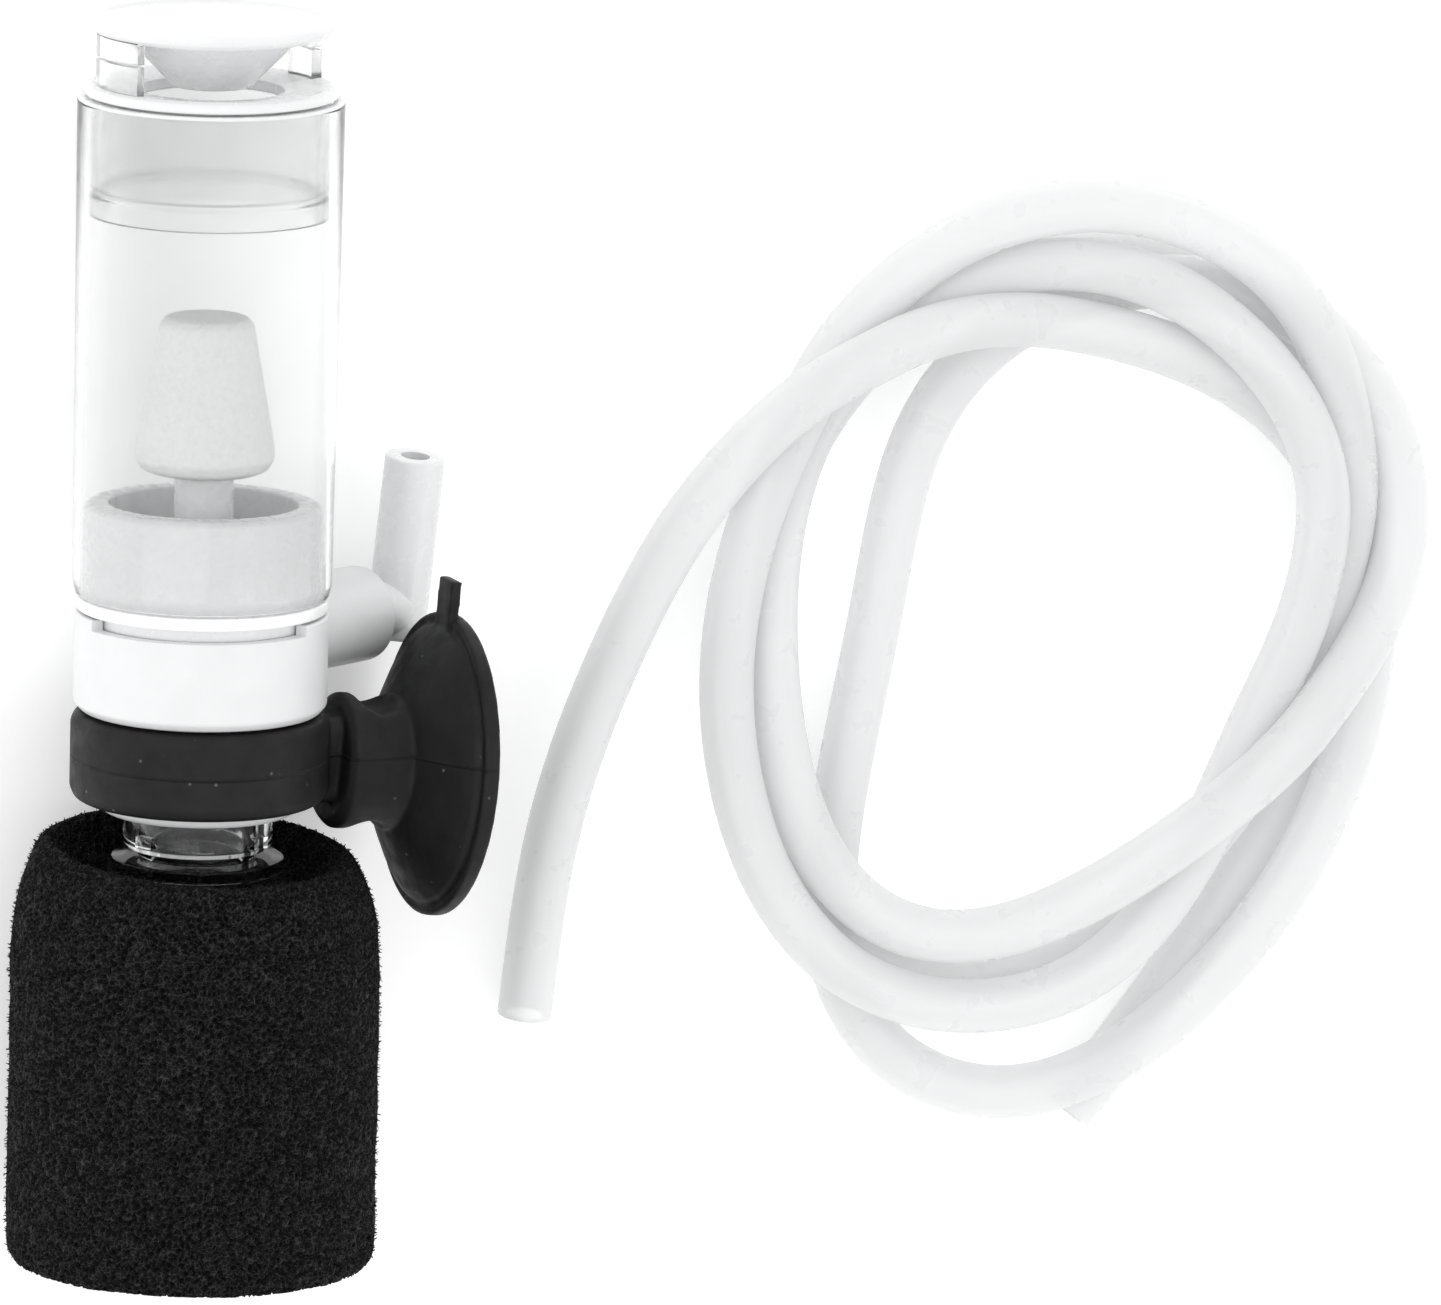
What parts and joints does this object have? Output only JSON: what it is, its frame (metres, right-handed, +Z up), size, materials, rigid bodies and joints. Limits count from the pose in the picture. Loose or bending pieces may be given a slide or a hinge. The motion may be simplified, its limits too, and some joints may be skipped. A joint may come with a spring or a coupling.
{
  "type": "air-driven aquarium sponge filter with air hose",
  "caption": "Small air-driven sponge filter with clear riser tube, air stone, suction-cup bracket and a loose coil of translucent air hose.",
  "frame": {"origin": "under the middle of the filter, on the surface it lies on, without the hose", "axes": "+Y along the filter's axis, from the foam end to the outlet end; +Z up"},
  "size_m": [0.1694, 0.1368, 0.041],
  "materials": {
    "black_foam": "open-cell foam, matte",
    "black_rubber": "matte moulded",
    "white_plastic": "satin",
    "clear_plastic": "slightly milky, glossy",
    "grey_stone": "porous, fine grained",
    "hose_vinyl": "soft, translucent"
  },
  "bodies": {
    "base": {"base_cup": "white_plastic", "tube_seat": "white_plastic", "coupling_neck": "clear_plastic", "stone_stem": "white_plastic", "hose_coil": "hose_vinyl", "hose_tail": "hose_vinyl", "hose_chord": "hose_vinyl"},
    "tube": {"riser_tube": "clear_plastic"},
    "outlet": {"outlet_collar": "clear_plastic", "deflector_cap": "clear_plastic"},
    "stone": {"air_stone": "grey_stone"},
    "elbow": {"air_elbow": "clear_plastic"},
    "bracket": {"suction_bracket": "black_rubber"},
    "core": {"strainer_core": "clear_plastic"},
    "foam": {"sponge": "black_foam"}
  },
  "joints": [
    {"name": "tube_slide", "type": "slide", "parent": "base", "child": "tube", "axis": [0, 1, 0], "range_m": [0, 0.045]},
    {"name": "outlet_slide", "type": "slide", "parent": "tube", "child": "outlet", "axis": [0, 1, 0], "range_m": [0, 0.02]},
    {"name": "stone_slide", "type": "slide", "parent": "base", "child": "stone", "axis": [0, 1, 0], "range_m": [0, 0.01]},
    {"name": "elbow_swivel", "type": "hinge", "parent": "base", "child": "elbow", "pos_m": [-0.00581, -0.00005, 0.0205], "axis": [0.866, 0, -0.5], "range_deg": [-8, 45]},
    {"name": "bracket_swivel", "type": "hinge", "parent": "base", "child": "bracket", "pos_m": [-0.00581, -0.01225, 0.0205], "axis": [0, 1, 0], "range_deg": [-180, 0]},
    {"name": "core_twist", "type": "hinge", "parent": "base", "child": "core", "pos_m": [-0.00581, -0.02325, 0.0205], "axis": [0, 1, 0], "range_deg": [0, 30]},
    {"name": "foam_slide", "type": "slide", "parent": "core", "child": "foam", "axis": [0, -1, 0], "range_m": [0, 0.05]}
  ]
}
